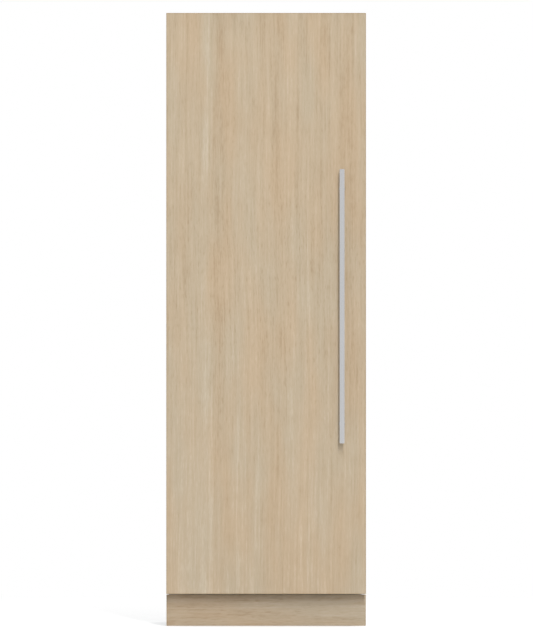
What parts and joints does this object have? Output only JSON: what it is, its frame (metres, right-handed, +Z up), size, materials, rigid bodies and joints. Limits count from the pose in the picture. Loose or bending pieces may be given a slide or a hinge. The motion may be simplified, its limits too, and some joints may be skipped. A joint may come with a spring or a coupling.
{
  "type": "integrated freezer",
  "caption": "Tall integrated freezer column with a flush oak-veneered door front, slim square bar handle and recessed matching plinth.",
  "frame": {"origin": "on the floor under the middle of the whole product's bounding box", "axes": "+Z up, +X to the right and +Y to the back as seen from the front"},
  "size_m": [0.61, 0.646, 1.875],
  "materials": {
    "oak_veneer": "matte",
    "brushed_stainless": "satin",
    "painted_sheet": "satin",
    "galvanised_sheet": "matte",
    "bracket_steel": "satin",
    "insulation_foam": "matte",
    "white_liner": "satin",
    "grey_plastic": "satin",
    "black_plastic": "matte",
    "black_enamel": "satin",
    "rubber_black": "matte",
    "gasket_grey": "matte",
    "copper_tube": "satin",
    "trim_aluminium": "satin",
    "shelf_glass": "gloss",
    "clear_plastic": "gloss",
    "frosted_plastic": "satin",
    "lens_plastic": "satin",
    "circuit_board": "satin"
  },
  "bodies": {
    "cabinet": {"outer_wrapper": "painted_sheet", "rear_panel": "galvanised_sheet", "bay_panel": "galvanised_sheet", "foam_core": "insulation_foam", "inner_liner": "white_liner", "base_chassis": "galvanised_sheet", "foot_sockets": "bracket_steel", "roller_brackets": "bracket_steel", "plinth_board": "oak_veneer", "plinth_clips": "black_plastic", "hinge_bracket_top": "bracket_steel", "hinge_bracket_bottom": "bracket_steel", "hinge_cover": "grey_plastic", "fixing_bracket": "galvanised_sheet", "compressor_shell": "black_enamel", "compressor_grommets": "rubber_black", "terminal_cover": "black_plastic", "evaporating_tray": "black_plastic", "power_inlet": "black_plastic", "condenser_tube": "black_enamel", "condenser_wires": "black_enamel", "condenser_spacers": "black_plastic", "refrigerant_lines": "copper_tube", "duct_cover": "white_liner", "fan_grille": "grey_plastic", "fan_motor": "black_plastic", "evaporator_coil": "trim_aluminium", "glass_shelves": "shelf_glass", "shelf_trims": "trim_aluminium", "drawer_runners": "white_liner", "control_housing": "white_liner", "light_lens": "lens_plastic", "control_board": "circuit_board"},
    "door": {"door_pan": "painted_sheet", "door_foam": "insulation_foam", "door_liner": "white_liner", "door_bushes": "black_plastic", "door_gasket": "gasket_grey", "door_panel": "oak_veneer", "panel_brackets": "galvanised_sheet", "handle_bar": "brushed_stainless", "handle_posts": "brushed_stainless", "door_bin_1": "clear_plastic", "door_bin_2": "clear_plastic", "door_bin_3": "clear_plastic", "door_bin_4": "clear_plastic"},
    "drawer_bottom": {"drawer_tub_bottom": "frosted_plastic", "drawer_front_bottom": "clear_plastic"},
    "drawer_middle": {"drawer_tub_middle": "frosted_plastic", "drawer_front_middle": "clear_plastic"},
    "drawer_top": {"drawer_tub_top": "frosted_plastic", "drawer_front_top": "clear_plastic"},
    "foot_left": {"levelling_foot_left": "bracket_steel"},
    "foot_right": {"levelling_foot_right": "bracket_steel"},
    "roller_left": {"rear_roller_left": "black_plastic"},
    "roller_right": {"rear_roller_right": "black_plastic"},
    "fan": {"fan_blade": "black_plastic"},
    "button_colder": {"colder_button": "grey_plastic"},
    "button_warmer": {"warmer_button": "grey_plastic"},
    "button_power": {"power_button": "grey_plastic"}
  },
  "joints": [
    {"name": "door_swing", "type": "hinge", "parent": "cabinet", "child": "door", "pos_m": [-0.285, -0.236, 1], "axis": [0, 0, -1], "range_deg": [0, 115]},
    {"name": "drawer_bottom_slide", "type": "slide", "parent": "cabinet", "child": "drawer_bottom", "axis": [0, -1, 0], "range_m": [0, 0.15]},
    {"name": "drawer_middle_slide", "type": "slide", "parent": "cabinet", "child": "drawer_middle", "axis": [0, -1, 0], "range_m": [0, 0.24]},
    {"name": "drawer_top_slide", "type": "slide", "parent": "cabinet", "child": "drawer_top", "axis": [0, -1, 0], "range_m": [0, 0.24]},
    {"name": "foot_left_height", "type": "slide", "parent": "cabinet", "child": "foot_left", "axis": [0, 0, -1], "range_m": [0, 0.02]},
    {"name": "foot_right_height", "type": "slide", "parent": "cabinet", "child": "foot_right", "axis": [0, 0, -1], "range_m": [0, 0.02]},
    {"name": "roller_left_spin", "type": "hinge", "parent": "cabinet", "child": "roller_left", "pos_m": [-0.25, 0.285, 0.02], "axis": [1, 0, 0], "continuous": true},
    {"name": "roller_right_spin", "type": "hinge", "parent": "cabinet", "child": "roller_right", "pos_m": [0.25, 0.285, 0.02], "axis": [1, 0, 0], "continuous": true},
    {"name": "fan_spin", "type": "hinge", "parent": "cabinet", "child": "fan", "pos_m": [0, 0.2035, 0.9], "axis": [0, 1, 0], "continuous": true},
    {"name": "button_colder_press", "type": "slide", "parent": "cabinet", "child": "button_colder", "axis": [0, 1, 0], "range_m": [0, 0.0012], "stiffness_N_per_m": 800},
    {"name": "button_warmer_press", "type": "slide", "parent": "cabinet", "child": "button_warmer", "axis": [0, 1, 0], "range_m": [0, 0.0012], "stiffness_N_per_m": 800},
    {"name": "button_power_press", "type": "slide", "parent": "cabinet", "child": "button_power", "axis": [0, 1, 0], "range_m": [0, 0.0012], "stiffness_N_per_m": 800}
  ],
  "couplings": [
    {"joint": "drawer_bottom_slide", "follows": "door_swing", "m_per_rad": 0.0747},
    {"joint": "drawer_middle_slide", "follows": "door_swing", "m_per_rad": 0.1195},
    {"joint": "drawer_top_slide", "follows": "door_swing", "m_per_rad": 0.1195}
  ]
}
